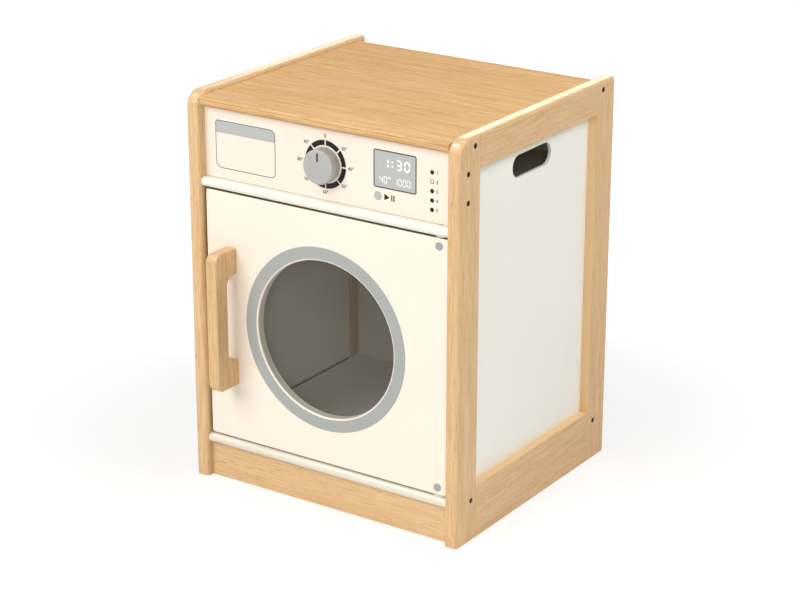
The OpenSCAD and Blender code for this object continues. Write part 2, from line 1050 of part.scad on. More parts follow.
module catch_housing() {
    color(NYLON)
        difference() {
            translate([catch_x - catch_w / 2, catch_front, catch_z])
                cube([catch_w, catch_d, catch_h]);
            pole_plate_blanks();
            magnet_blank();
            catch_ear_cuts();
            at_catch_ears()
                cylinder(h = small_screw_l, r = small_screw_r);
        }
}

// The two ears are half as high as the middle, so their screws stay short
module catch_ear_cuts() {
    ear_h = catch_z + catch_h - catch_ear_z;
    at_catch_ears()
        translate([-catch_ear_w - cut, -catch_d / 2 - cut, -ear_h - cut])
            cube([2 * (catch_ear_w + cut), catch_d + 2 * cut, ear_h + cut]);
}

module catch_magnet() {
    color(DARK_STEEL)
        magnet_blank();
}

module catch_pole_plates() {
    color(STEEL)
        pole_plate_blanks();
}

module catch_screws() {
    color(STEEL)
        at_catch_ears()
            small_screw(small_screw_l);
}

module strike_screw_blank() {
    translate([catch_x, door_back + strike_t, strike_z + strike_h / 2])
        rotate([90, 0, 0])
            countersunk_blank(small_screw_l, small_screw_r, strike_t + small_screw_r, strike_t);
}

module strike_plate() {
    color(STEEL)
        difference() {
            translate([catch_x, door_back, strike_z + strike_h / 2])
                rotate([-90, 0, 0])
                    linear_extrude(strike_t)
                        obround(strike_w, strike_h);
            strike_screw_blank();
        }
}

module strike_plate_screw() {
    color(DARK_STEEL)
        strike_screw_blank();
}

left_front_stile();
left_back_stile();
left_top_rail();
left_bottom_rail();
left_side_panel();
right_front_stile();
right_back_stile();
right_top_rail();
right_bottom_rail();
right_side_panel();
frame_tenons();
top_board();
middle_board();
bottom_board();
board_dowels();
control_panel();
plinth();
plinth_dowels();
back_panel();
side_screws();
back_panel_screws();
door_panel();
window_pane();
window_pane_screws();
door_handle();
handle_screws();
upper_pivot_pin();
lower_pivot_pin();
pin_locking_screws();
hinge_caps();
upper_hinge_bush();
lower_hinge_bush();
catch_housing();
catch_magnet();
catch_pole_plates();
catch_screws();
strike_plate();
strike_plate_screw();
program_knob();
knob_insert();
knob_bolt();
knob_felt_disc();
knob_washer();
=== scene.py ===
"""Toy washing machine: the finish of each of its pieces, and the prints on its door, panel and knob.

Metres. X runs to the right as seen from the front, Y from the front to the back, and Z up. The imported
model gives the pieces at their real size. Each class here stands for one sub-assembly: it holds the sizes
of what is printed on it in millimetres, makes those prints as thin plates of ink, and dresses its pieces.
"""

import logging
import math
from collections.abc import Mapping, Sequence
from dataclasses import dataclass
from enum import Enum

import bmesh
import bpy
import numpy as np
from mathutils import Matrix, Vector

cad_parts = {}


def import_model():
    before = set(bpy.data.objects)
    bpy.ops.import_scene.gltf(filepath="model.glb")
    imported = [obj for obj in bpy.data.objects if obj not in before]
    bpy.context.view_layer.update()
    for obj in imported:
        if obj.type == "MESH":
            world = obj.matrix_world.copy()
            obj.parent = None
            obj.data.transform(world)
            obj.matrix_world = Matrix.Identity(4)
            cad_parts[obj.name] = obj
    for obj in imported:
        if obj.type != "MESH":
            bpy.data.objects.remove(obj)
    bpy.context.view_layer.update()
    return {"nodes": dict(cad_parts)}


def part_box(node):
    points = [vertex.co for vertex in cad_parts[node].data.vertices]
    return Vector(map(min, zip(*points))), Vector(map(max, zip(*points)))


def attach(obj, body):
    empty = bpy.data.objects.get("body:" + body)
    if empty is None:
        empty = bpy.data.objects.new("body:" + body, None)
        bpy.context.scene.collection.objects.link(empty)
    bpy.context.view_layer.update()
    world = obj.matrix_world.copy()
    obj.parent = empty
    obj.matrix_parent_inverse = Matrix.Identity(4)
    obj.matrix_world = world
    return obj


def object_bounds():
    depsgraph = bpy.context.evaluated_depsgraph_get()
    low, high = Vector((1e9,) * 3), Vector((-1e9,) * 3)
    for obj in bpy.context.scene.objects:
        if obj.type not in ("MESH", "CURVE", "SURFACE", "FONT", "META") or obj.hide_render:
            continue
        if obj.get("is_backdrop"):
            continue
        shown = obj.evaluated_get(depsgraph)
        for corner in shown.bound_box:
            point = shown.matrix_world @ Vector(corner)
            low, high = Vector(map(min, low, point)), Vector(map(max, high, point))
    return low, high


LOG = logging.getLogger("toy_washing_machine")
MM = 0.001
WELD = 0.002 * MM

Colour = tuple[float, float, float]
Flat = tuple[float, float]
Place = tuple[float, float, float]
Piece = bpy.types.Object
Socket = bpy.types.NodeSocket
Value = float | tuple | Socket


# ---- Node trees ----


def linear(colour: Colour) -> tuple[float, float, float, float]:
    """Turns a display colour into the linear one that shaders take.

    Args:
        colour: Red, green and blue from 0 to 255, as a screen shows them.

    Returns:
        Linear red, green, blue and an alpha of 1.
    """
    share = np.array(colour, float) / 255
    curve = np.where(share <= 0.04045, share / 12.92, ((share + 0.055) / 1.055) ** 2.4)
    return (*curve.tolist(), 1.0)


class NodeTree:
    """A node tree that is built one node at a time."""

    def __init__(self, tree: bpy.types.NodeTree) -> None:
        """Empties the tree of a material or of the world."""
        self.tree = tree
        tree.nodes.clear()

    def add(self, kind: str, inputs: Mapping[str | int, Value] | None = None, **settings) -> bpy.types.Node:
        """Adds a node and fills its sockets.

        Args:
            kind: The node's type, without its ShaderNode prefix.
            inputs: A value, or a socket to link, for each input by name or number.
            **settings: The node's own properties.

        Returns:
            The new node.
        """
        node = self.tree.nodes.new("ShaderNode" + kind)
        for name, value in settings.items():
            setattr(node, name, value)
        for key, value in (inputs or {}).items():
            if isinstance(value, Socket):
                self.tree.links.new(value, node.inputs[key])
            else:
                node.inputs[key].default_value = value
        return node

    def math(self, operation: str, *values: Value, clamp: bool = False) -> Socket:
        """Adds a Math node.

        Args:
            operation: The name of its operation.
            *values: Its inputs in order.
            clamp: Whether the result is kept from 0 to 1.

        Returns:
            The result.
        """
        return self.add("Math", dict(enumerate(values)), operation=operation, use_clamp=clamp).outputs[0]

    def blend(self, share: Value, first: Value, second: Value) -> Socket:
        """Mixes two colours: the share is how much of the second shows."""
        inputs = {0: share, 6: first, 7: second}
        return self.add("Mix", inputs, data_type="RGBA").outputs[2]

    def noise(self, place: Socket, size: float, detail: float = 2.0, distortion: float = 0.0) -> Socket:
        """Adds a noise pattern.

        Args:
            place: Where it is read, in metres.
            size: About how far its spots lie apart, in metres.
            detail: How many finer layers it has.
            distortion: How much its spots curl.

        Returns:
            A value about 0.5.
        """
        inputs = {"Vector": place, "Scale": 1 / size, "Detail": detail, "Distortion": distortion}
        return self.add("TexNoise", inputs).outputs[0]

    def step(self, value: Value, low: float, high: float) -> Socket:
        """Rises smoothly from 0 at low to 1 at high."""
        inputs = {0: value, 1: low, 2: high}
        return self.add("MapRange", inputs, interpolation_type="SMOOTHSTEP").outputs[0]

    def between(self, value: Value, low: float, high: float, soft: float) -> Socket:
        """1 where the value lies from low to high and 0 elsewhere, with ends that are soft to each side."""
        started = self.step(value, low - soft, low + soft)
        ended = self.step(value, high - soft, high + soft)
        return self.math("SUBTRACT", started, ended)

    def bump(self, height: Value, depth: float) -> Socket:
        """Turns a height from 0 to 1 into a normal, for a relief that is depth metres deep."""
        return self.add("Bump", {"Height": height, "Distance": depth}).outputs[0]


class Material(NodeTree):
    """The node tree of a new material, with one Principled shader at its end."""

    def __init__(self, name: str) -> None:
        """Makes the material, with this name."""
        self.material = bpy.data.materials.new(name)
        self.material.use_nodes = True
        super().__init__(self.material.node_tree)
        self.place = self.add("TexCoord").outputs["Object"]

    def stretched(self, scale: tuple, shift: tuple = (0.0, 0.0, 0.0)) -> Socket:
        """The place in the piece, scaled along each axis and then shifted."""
        return self.add("Mapping", {"Vector": self.place, "Location": shift, "Scale": scale}).outputs[0]

    def mottled(self, pattern: Socket, colour: Colour, share: float) -> Socket:
        """The colour where the pattern is 1, and a share of it where the pattern is 0."""
        darker = tuple(share * part for part in colour)
        return self.blend(pattern, linear(darker), linear(colour))

    def varied(self, pattern: Socket, middle: float, spread: float) -> Socket:
        """A value that follows a pattern about 0.5, over a spread about its middle."""
        return self.math("MULTIPLY_ADD", pattern, spread, middle - spread / 2)

    def finish(self, **inputs: Value) -> bpy.types.Material:
        """Ends the tree with a Principled shader.

        Args:
            **inputs: Its inputs by name, with _ for each space.

        Returns:
            The material.
        """
        named = {name.replace("_", " "): value for name, value in inputs.items()}
        shader = self.add("BsdfPrincipled", named)
        self.add("OutputMaterial", {"Surface": shader.outputs[0]})
        return self.material


# ---- Finishes ----


class Axis(Enum):
    """An axis of the object, such as the one that the grain of a wooden piece runs along."""

    X = 0
    Y = 1
    Z = 2


class Overlay:
    """Another colour over a part of a piece."""

    def mask(self, material: Material) -> Socket:
        """How much of the overlay shows at each place, from 0 to 1."""
        raise NotImplementedError

    def over(self, material: Material, colour: Socket) -> Socket:
        """Lays it over a colour.

        Args:
            material: The material that it is added to.
            colour: What shows beside it.

        Returns:
            The colour with the overlay in it.
        """
        return material.blend(self.mask(material), colour, linear(self.colour))


@dataclass(frozen=True)
class Strip(Overlay):
    """A strip of another colour across a piece, such as a glue line, painted shade along an edge or painted
    light on a face.

    Attributes:
        axis: The axis that the strip lies across.
        low: Where it starts along that axis, in metres.
        high: Where it ends.
        colour: Its colour, from 0 to 255.
        share: How much of it shows.
    """

    axis: Axis
    low: float
    high: float
    colour: Colour
    share: float = 1.0

    SOFT = 0.15 * MM

    @classmethod
    def about(cls, axis: Axis, middle: float, reach: float, colour: Colour, share: float = 1.0) -> "Strip":
        """A strip that goes as far to each side of its middle."""
        return cls(axis, middle - reach, middle + reach, colour, share)

    def mask(self, material: Material) -> Socket:
        """The share, where the strip lies."""
        along = material.add("SeparateXYZ", {0: material.place}).outputs[self.axis.value]
        inside = material.between(along, self.low, self.high, self.SOFT)
        return material.math("MULTIPLY", inside, self.share)


@dataclass(frozen=True)
class Bore(Overlay):
    """The wall of a round hole along Y, with a band of another colour along part of its depth.

    Attributes:
        middle: X and Z of the hole's axis, in metres.
        radius: The hole's radius.
        low: Where the band starts along Y.
        high: Where it ends.
        colour: The band's colour, from 0 to 255.
    """

    middle: Flat
    radius: float
    low: float
    high: float
    colour: Colour

    SOFT = 0.2 * MM

    def mask(self, material: Material) -> Socket:
        """1 on the band: between its two ends along Y, and no further from the axis than the wall."""
        parts = material.add("SeparateXYZ", {0: material.place}).outputs
        across = material.math("SUBTRACT", parts[0], self.middle[0])
        up = material.math("SUBTRACT", parts[2], self.middle[1])
        square = material.math("MULTIPLY_ADD", across, across, material.math("MULTIPLY", up, up))
        away = material.math("SQRT", square)
        deep = material.between(parts[1], self.low, self.high, self.SOFT)
        outside = material.step(away, self.radius + 2 * self.SOFT, self.radius + 3 * self.SOFT)
        return material.math("SUBTRACT", deep, outside, clamp=True)


@dataclass(frozen=True)
class Beech:
    """Beech with broad bands, growth rings, fine streaks and short dark ray flecks along its grain.

    Attributes:
        grain: The axis that the grain runs along.
        seed: Moves the figure, so that no two pieces share it.
        pale: Colour between the streaks, from 0 to 255.
        deep: Colour in the streaks.
        roughness: Roughness of the wood's own surface.
        coat: Weight of the gloss lacquer over it.
        sheen_level: Strength of the reflection on the wood's own surface.
        fleck_share: How dark the flecks are.
        strips: What crosses it, such as glue lines, painted shade and painted light.
    """

    grain: Axis
    seed: float
    pale: Colour = (230, 196, 149)
    deep: Colour = (210, 165, 112)
    roughness: float = 0.45
    coat: float = 0.3
    sheen_level: float = 0.3
    fleck_share: float = 0.42
    strips: tuple[Overlay, ...] = ()

    def along(self, stretch: float) -> tuple[float, ...]:
        """Scales that draw a pattern out along the grain by stretch."""
        return tuple(1 / stretch if axis == self.grain.value else 1.0 for axis in range(3))

    def material(self, name: str) -> bpy.types.Material:
        """Makes the material: the figure adds bands, rings and streaks, and the flecks lie over it."""
        wood = Material(name)
        shift = tuple(self.seed * part for part in (0.37, 0.53, 0.71))
        long_place = wood.stretched(self.along(stretch=24), shift)
        short_place = wood.stretched(self.along(stretch=11), shift)
        bands = wood.noise(long_place, size=0.034, detail=1, distortion=0.3)
        rings = wood.noise(long_place, size=0.009, detail=1.5, distortion=0.6)
        streaks = wood.noise(long_place, size=0.0022, detail=3)
        flecks = wood.noise(short_place, size=0.0014, detail=1.5)
        figure = wood.varied(bands, 0.5, spread=0.45)
        figure = wood.math("MULTIPLY_ADD", wood.math("SUBTRACT", rings, 0.5), 0.5, figure)
        figure = wood.math("MULTIPLY_ADD", wood.math("SUBTRACT", streaks, 0.5), 1.9, figure, clamp=True)
        colour = wood.blend(figure, linear(self.deep), linear(self.pale))
        fleck_colour = tuple(0.8 * part for part in self.deep)
        flecked = wood.math("MULTIPLY", wood.step(flecks, 0.58, 0.72), self.fleck_share)
        colour = wood.blend(flecked, colour, linear(fleck_colour))
        for strip in self.strips:
            colour = strip.over(wood, colour)
        return wood.finish(
            Base_Color=colour,
            Roughness=wood.varied(streaks, self.roughness, spread=0.12),
            Normal=wood.bump(streaks, depth=0.00006),
            Specular_IOR_Level=self.sheen_level,
            Coat_Weight=self.coat,
            Coat_Roughness=0.16,
        )


@dataclass(frozen=True)
class Plain:
    """A finish of one colour.

    Attributes:
        colour: Its colour, from 0 to 255.
        roughness: Its roughness.
    """

    colour: Colour
    roughness: float = 0.45

    def material(self, name: str) -> bpy.types.Material:
        """Makes the material."""
        raise NotImplementedError


@dataclass(frozen=True)
class Lacquer(Plain):
    """Sprayed lacquer on board, with the faint orange peel of a spray gun.

    Attributes:
        coat: Weight of its gloss.
        strips: What crosses it, such as painted shade along edges or a band on a hole's wall.
    """

    roughness: float = 0.4
    coat: float = 0.12
    strips: tuple[Overlay, ...] = ()

    def material(self, name: str) -> bpy.types.Material:
        """Makes the material."""
        paint = Material(name)
        cloud = paint.noise(paint.place, size=0.12, detail=2)
        peel = paint.noise(paint.place, size=0.0022, detail=2)
        colour = paint.mottled(cloud, self.colour, share=0.975)
        for strip in self.strips:
            colour = strip.over(paint, colour)
        return paint.finish(
            Base_Color=colour,
            Roughness=paint.varied(cloud, self.roughness, spread=0.1),
            Normal=paint.bump(peel, depth=0.00002),
            Coat_Weight=self.coat,
            Coat_Roughness=0.2,
        )


@dataclass(frozen=True)
class Ink(Plain):
    """Screen-printed ink: an even colour with a fine grain of mesh."""

    roughness: float = 0.5

    def material(self, name: str) -> bpy.types.Material:
        """Makes the material."""
        ink = Material(name)
        grain = ink.noise(ink.place, size=0.0006, detail=1)
        return ink.finish(
            Base_Color=ink.mottled(grain, self.colour, share=0.97),
            Roughness=self.roughness,
            Specular_IOR_Level=0.3,
            Normal=ink.bump(grain, depth=0.000006),
        )


@dataclass(frozen=True)
class Plastic(Plain):
    """Moulded plastic with a spark-eroded, fine matt skin."""

    def material(self, name: str) -> bpy.types.Material:
        """Makes the material."""
        plastic = Material(name)
        skin = plastic.noise(plastic.place, size=0.0005, detail=2)
        flow = plastic.noise(plastic.place, size=0.02, detail=1)
        return plastic.finish(
            Base_Color=plastic.mottled(flow, self.colour, share=0.96),
            Roughness=plastic.varied(skin, self.roughness, spread=0.12),
            Normal=plastic.bump(skin, depth=0.00002),
        )


@dataclass(frozen=True)
class SmokedAcrylic(Plain):
    """A clear sheet tinted grey-brown, which dims what lies behind it.

    Attributes:
        cover: How much of the light each of its two faces holds back.
    """

    colour: Colour = (118, 113, 109)
    roughness: float = 0.06
    cover: float = 0.10

    def material(self, name: str) -> bpy.types.Material:
        """Makes the material."""
        sheet = Material(name)
        smear = sheet.noise(sheet.place, size=0.05, detail=3)
        return sheet.finish(
            Base_Color=linear(self.colour),
            Roughness=sheet.varied(smear, self.roughness, spread=0.06),
            Alpha=self.cover,
            Specular_IOR_Level=0.35,
        )


@dataclass(frozen=True)
class Metal(Plain):
    """Rolled or turned metal, with fine marks across it.

    Attributes:
        metallic: 1 for bare metal, less for a burnished or ceramic skin.
    """

    roughness: float = 0.35
    metallic: float = 1.0

    def material(self, name: str) -> bpy.types.Material:
        """Makes the material."""
        metal = Material(name)
        marks = metal.noise(metal.stretched((1.0, 1.0, 12.0)), size=0.004, detail=4)
        return metal.finish(
            Base_Color=metal.mottled(marks, self.colour, share=0.9),
            Metallic=self.metallic,
            Roughness=metal.varied(marks, self.roughness, spread=0.2),
            Normal=metal.bump(marks, depth=0.00001),
        )


@dataclass(frozen=True)
class Felt(Plain):
    """Pressed felt, a mat of short fibres."""

    roughness: float = 0.95

    def material(self, name: str) -> bpy.types.Material:
        """Makes the material."""
        felt = Material(name)
        fibres = felt.noise(felt.place, size=0.0009, detail=4, distortion=2.5)
        return felt.finish(
            Base_Color=felt.mottled(fibres, self.colour, share=0.7),
            Roughness=self.roughness,
            Sheen_Weight=0.4,
            Normal=felt.bump(fibres, depth=0.0003),
        )


Finish = Beech | Plain

DOOR_CREAM = (250, 238, 221)
PANEL_CREAM = (248, 234, 217)
# Painted shade: the noses of the middle and bottom boards are darker and creamier than the white lacquer.
MIDDLE_NOSE_SHADE = (236, 235, 219)
BOTTOM_NOSE_SHADE = (226, 219, 200)
# Painted shade: a brown that darkens the gaps along the boards' undersides and the door's edges.
GAP_SHADE_BROWN = (128, 116, 98)
PORTHOLE_GREY = (208, 204, 190)
# Painted shade: dark lines in the inside corners under the control panel and over the floor inside.
CORNER_SHADE_GREY = (140, 138, 130)
CORNER_SHADE_BROWN = (72, 60, 44)
# Painted light: a paler beech for recess faces that the lamps light brightly.
PAINTED_LIGHT_BEECH = (252, 212, 156)
# Dark glue lines between frame members; on the worktop's front edge the same colour is also painted shade.
GLUE_AND_SHADE = (122, 94, 62)

WHITE = Lacquer((246, 245, 236))
BARE_WOOD = Beech(Axis.Y, 9.0, pale=(226, 198, 154), deep=(203, 170, 122), roughness=0.6, coat=0.0)
KNOB_GREY = Plastic((180, 178, 174))
CAP_GREY = Plastic((163, 166, 163))
NYLON = Plastic((224, 221, 210), roughness=0.4)
STEEL = Metal((178, 178, 175))
DARK_STEEL = Metal((62, 57, 52), roughness=0.45, metallic=0.8)
FERRITE = Metal((46, 45, 44), roughness=0.7, metallic=0.1)
BRASS = Metal((203, 168, 92))
FELT = Felt((122, 117, 108))
RING_GREY = Ink((170, 173, 169))
SOFT_GREY = Ink((185, 187, 183))
LINE_GREY = Ink((104, 110, 108))
NUMBER_GREY = Ink((92, 90, 86))
DARK_GREY = Ink((66, 64, 62))
BLACK = Ink((24, 22, 22))
PRINT_WHITE = Ink((248, 248, 244))
FULL_WHITE = (1.0, 1.0, 1.0, 1.0)


# ---- Surfaces ----


def put(name: str, data: bpy.types.ID) -> Piece:
    """Puts an object with this data into the scene."""
    thing = bpy.data.objects.new(name, data)
    bpy.context.scene.collection.objects.link(thing)
    return thing


def loft(rings: np.ndarray, closed: bool) -> tuple[np.ndarray, list[list[int]]]:
    """Joins rings of points into a closed surface.

    Point (i, j) is point j of ring i. Each face joins (i, j), (i, j + 1), (i + 1, j + 1) and (i + 1, j),
    where j wraps round. With closed, i wraps round too. Otherwise the first and last rings are filled.

    Args:
        rings: An array of rings by points by three.
        closed: Whether the last ring meets the first.

    Returns:
        The points, and each face as a list of point numbers.
    """
    count, around = rings.shape[:2]
    spans = count if closed else count - 1
    i, j = np.meshgrid(np.arange(spans), np.arange(around), indexing="ij")
    after_i, after_j = (i + 1) % count, (j + 1) % around
    corners = [i * around + j, i * around + after_j, after_i * around + after_j, after_i * around + j]
    faces = np.stack([corner.ravel() for corner in corners], axis=1).tolist()
    if not closed:
        faces.append(list(range(around)))
        faces.append(list(range((count - 1) * around, count * around)))
    return rings.reshape(-1, 3), faces


def circle(radius: float, steps: int = 128) -> np.ndarray:
    """A full circle: radius times the cosine and sine of evenly spaced angles."""
    return arc(radius, 0.0, math.tau * (1 - 1 / steps), steps)


def arc(radius: float, start: float, end: float, steps: int) -> np.ndarray:
    """Part of a circle: radius times the cosine and sine of angles from start to end, in radians."""
    angle = np.linspace(start, end, steps)
    return radius * np.stack([np.cos(angle), np.sin(angle)], axis=1)


def rounded_box(size: Flat, radii: Sequence[float], steps: int = 8) -> np.ndarray:
    """A rectangle about the origin with a quarter circle in each corner.

    Args:
        size: Its width and height.
        radii: The radii of its corners, anticlockwise from the upper right.
        steps: Points in each quarter circle.

    Returns:
        The outline, four times steps by two.
    """
    quarter = math.pi / 2
    signs = np.array([(1, 1), (-1, 1), (-1, -1), (1, -1)], float)
    corners = [
        sign * (np.array(size) / 2 - radius) + arc(radius, turn * quarter, (turn + 1) * quarter, steps)
        for turn, (sign, radius) in enumerate(zip(signs, radii))
    ]
    return np.concatenate(corners)


def framed(size: Flat, radii: Sequence[float], line: float) -> tuple[Flat, list[float]]:
    """The size and the corner radii of the outline that lies a line's width inside a rounded box."""
    return (size[0] - 2 * line, size[1] - 2 * line), [radius - line for radius in radii]


@dataclass(frozen=True)
class PrintBed:
    """A flat face that looks to the front, and the ink on it. Its own plane is in millimetres.

    Attributes:
        x: Where the plane's origin lies, in metres.
        y: Depth of the face.
        z: Height of the plane's origin.
        body: The body that the face belongs to.
        SINK, LIFT: How far ink goes below the face, and how far each layer of it stands out.
        DIGIT_SHARE: A digit's height in the font's size.
        THICKENING: Growth of a digit's strokes to each side, in its height.
    """

    x: float
    y: float
    z: float
    body: str

    SINK = 0.04
    LIFT = 0.1
    DIGIT_SHARE = 0.73
    THICKENING = 0.025

    def moved(self, right: float, up: float) -> "PrintBed":
        """The same face with its origin moved, in millimetres."""
        return PrintBed(self.x + right * MM, self.y, self.z + up * MM, self.body)

    def place(self, outline: np.ndarray, lift: float) -> np.ndarray:
        """Sets flat points on the face.

        Args:
            outline: Points to the right and up, in millimetres.
            lift: How far they stand out of the face, in millimetres.

        Returns:
            The points in metres: x + right, y - lift and z + up.
        """
        right, up = np.moveaxis(outline * MM, -1, 0)
        return np.stack([self.x + right, np.full_like(right, self.y - lift * MM), self.z + up], axis=-1)

    def filled(self, name: str, outline: np.ndarray, ink: Ink, layer: int = 1) -> Piece:
        """Prints a filled shape, as a plate whose two rings are the outline below and above the face.

        Args:
            name: The piece's name.
            outline: Its outline, in order.
            ink: Its finish.
            layer: 1 for ink on the face, 2 for ink on ink.

        Returns:
            The piece.
        """
        rings = np.stack([self.place(outline, -self.SINK), self.place(outline, self.LIFT * layer)])
        return new_piece(name, *loft(rings, closed=False), ink, self.body)

    def band(
        self, name: str, inner: np.ndarray, outer: np.ndarray, ink: Ink, closed: bool = True, layer: int = 1
    ) -> Piece:
        """Prints a band between two outlines that have the same number of points.

        Ring i runs round the band's section at point i: the outer edge below and above the face, then the
        inner edge above and below it.

        Args:
            name: The piece's name.
            inner: The inner outline.
            outer: The outer outline.
            ink: Its finish.
            closed: Whether the band runs all the way round.
            layer: 1 for ink on the face, 2 for ink on ink.

        Returns:
            The piece.
        """
        low, high = -self.SINK, self.LIFT * layer
        edges = [(outer, low), (outer, high), (inner, high), (inner, low)]
        rings = np.stack([self.place(outline, lift) for outline, lift in edges], axis=1)
        return new_piece(name, *loft(rings, closed), ink, self.body)

    def words(self, name: str, text: str, height: float, align: str, ink: Ink) -> Piece:
        """Prints a number at the origin of the face.

        Args:
            name: The piece's name.
            text: What it says.
            height: The height of its digits, in millimetres.
            align: LEFT, CENTER or RIGHT of the origin.
            ink: Its finish.

        Returns:
            The piece.
        """
        curve = bpy.data.curves.new(name, "FONT")
        curve.body = text
        curve.align_x, curve.align_y = align, "CENTER"
        curve.size = height / self.DIGIT_SHARE
        curve.extrude = (self.LIFT + self.SINK) / 2
        curve.offset = self.THICKENING * height
        curve.resolution_u = 4
        holder = put(name, curve)
        mesh = bpy.data.meshes.new_from_object(holder.evaluated_get(bpy.context.evaluated_depsgraph_get()))
        bpy.data.objects.remove(holder)
        points = np.empty(len(mesh.vertices) * 3)
        mesh.vertices.foreach_get("co", points)
        right, up, out = points.reshape(-1, 3).T
        lift = out + (self.LIFT - self.SINK) / 2
        placed = self.place(np.stack([right, up], axis=1), 0.0)
        placed[:, 1] -= lift * MM
        faces = [list(face.vertices) for face in mesh.polygons]
        bpy.data.meshes.remove(mesh)
        return new_piece(name, placed, faces, ink, self.body)


def new_piece(
    name: str, points: np.ndarray, faces: list[list[int]], finish: Finish, body: str
) -> Piece:
    """Makes a piece, with its doubles merged and its faces pointing outwards.

    Args:
        name: The piece's name.
        points: Its points, in metres.
        faces: Its faces, as lists of point numbers.
        finish: Its finish.
        body: The body that it rides on.

    Returns:
        The piece.
    """
    mesh = bpy.data.meshes.new(name)
    mesh.from_pydata(points.tolist(), [], faces)
    form = bmesh.new()
    form.from_mesh(mesh)
    bmesh.ops.remove_doubles(form, verts=form.verts, dist=WELD)
    bmesh.ops.recalc_face_normals(form, faces=form.faces)
    form.to_mesh(mesh)
    form.free()
    mesh.materials.append(shared_material(finish))
    piece = put(name, mesh)
    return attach(piece, body)


_MADE: dict[Finish, bpy.types.Material] = {}


def shared_material(finish: Finish) -> bpy.types.Material:
    """The material of a finish, which is made once."""
    if finish not in _MADE:
        _MADE[finish] = finish.material(f"{type(finish).__name__.lower()}_{len(_MADE):02d}")
    return _MADE[finish]


# ---- Sub-assemblies ----


class SubAssembly:
    """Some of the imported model's pieces, and what is added to them."""

    def finishes(self) -> dict[str, Finish]:
        """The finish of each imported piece."""
        raise NotImplementedError

    def prints(self) -> list[Piece]:
        """Makes the prints on the pieces."""
        return []

    def build(self, nodes: Mapping[str, Piece]) -> None:
        """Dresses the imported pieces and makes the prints.

        Args:
            nodes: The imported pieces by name.
        """
        for name, finish in self.finishes().items():
            material = shared_material(finish)
            for slot in nodes[name].material_slots:
                slot.material = material
            LOG.info("%s: dressed in %s", name, type(finish).__name__.lower())
        for piece in self.prints():
            LOG.info("%s: printed, %d faces", piece.name, len(piece.data.polygons))


@dataclass
class SideFrames(SubAssembly):
    """The two framed sides: beech stiles and rails round white panels.

    Attributes:
        gloss: Weight of the lacquer's gloss.
        glue_line: Width of the line where a stile meets the rails.
        corner_shade: Half the width of the painted shade line in the corner over the floor inside.
        lit_reach: How far the painted light on a face reaches round its edge.
    """

    gloss: float = 0.35
    glue_line: float = 0.6 * MM
    corner_shade: float = 1.0 * MM
    lit_reach: float = 0.3 * MM

    def edges_of(self, side: str, member: str) -> tuple[Strip, ...]:
        """Painted light on the faces round the panel's recess, and a painted shade line in the corner over
        the floor inside.

        Args:
            side: left or right.
            member: The member of that side's frame.

        Returns:
            The strips that only that member has.
        """
        low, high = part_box(f"{side}_{member}")
        inner = low.x if low.x > 0 else high.x
        if member == "back_stile":
            # Painted light: the back stile's face towards the front is paler.
            return (Strip(Axis.Y, low.y - MM, low.y + self.lit_reach, PAINTED_LIGHT_BEECH, share=0.75),)
        if member == "bottom_rail":
            # Painted light on the rail's top face.
            lit_ledge = Strip(Axis.Z, high.z - self.lit_reach, high.z + MM, PAINTED_LIGHT_BEECH, share=0.7)
            # A painted shade line in the corner where the floor inside meets the rail.
            return (lit_ledge, Strip.about(Axis.X, inner, self.corner_shade, CORNER_SHADE_BROWN, share=0.85))
        return ()

    def finishes(self) -> dict[str, Finish]:
        """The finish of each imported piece."""
        found: dict[str, Finish] = {"frame_tenons": BARE_WOOD, "side_screws": DARK_STEEL}
        members = {"front_stile": Axis.Z, "back_stile": Axis.Z, "top_rail": Axis.Y, "bottom_rail": Axis.Y}
        for number, side in enumerate(("left", "right")):
            joints = [end.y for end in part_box(f"{side}_top_rail")]
            glue = [Strip.about(Axis.Y, joint, self.glue_line / 2, GLUE_AND_SHADE, share=0.3) for joint in joints]
            for place, (member, grain) in enumerate(members.items()):
                seed = 1.0 + 5 * number + place
                strips = (*glue, *self.edges_of(side, member))
                found[f"{side}_{member}"] = Beech(grain, seed, coat=self.gloss, strips=strips)
            found[f"{side}_side_panel"] = WHITE
        return found


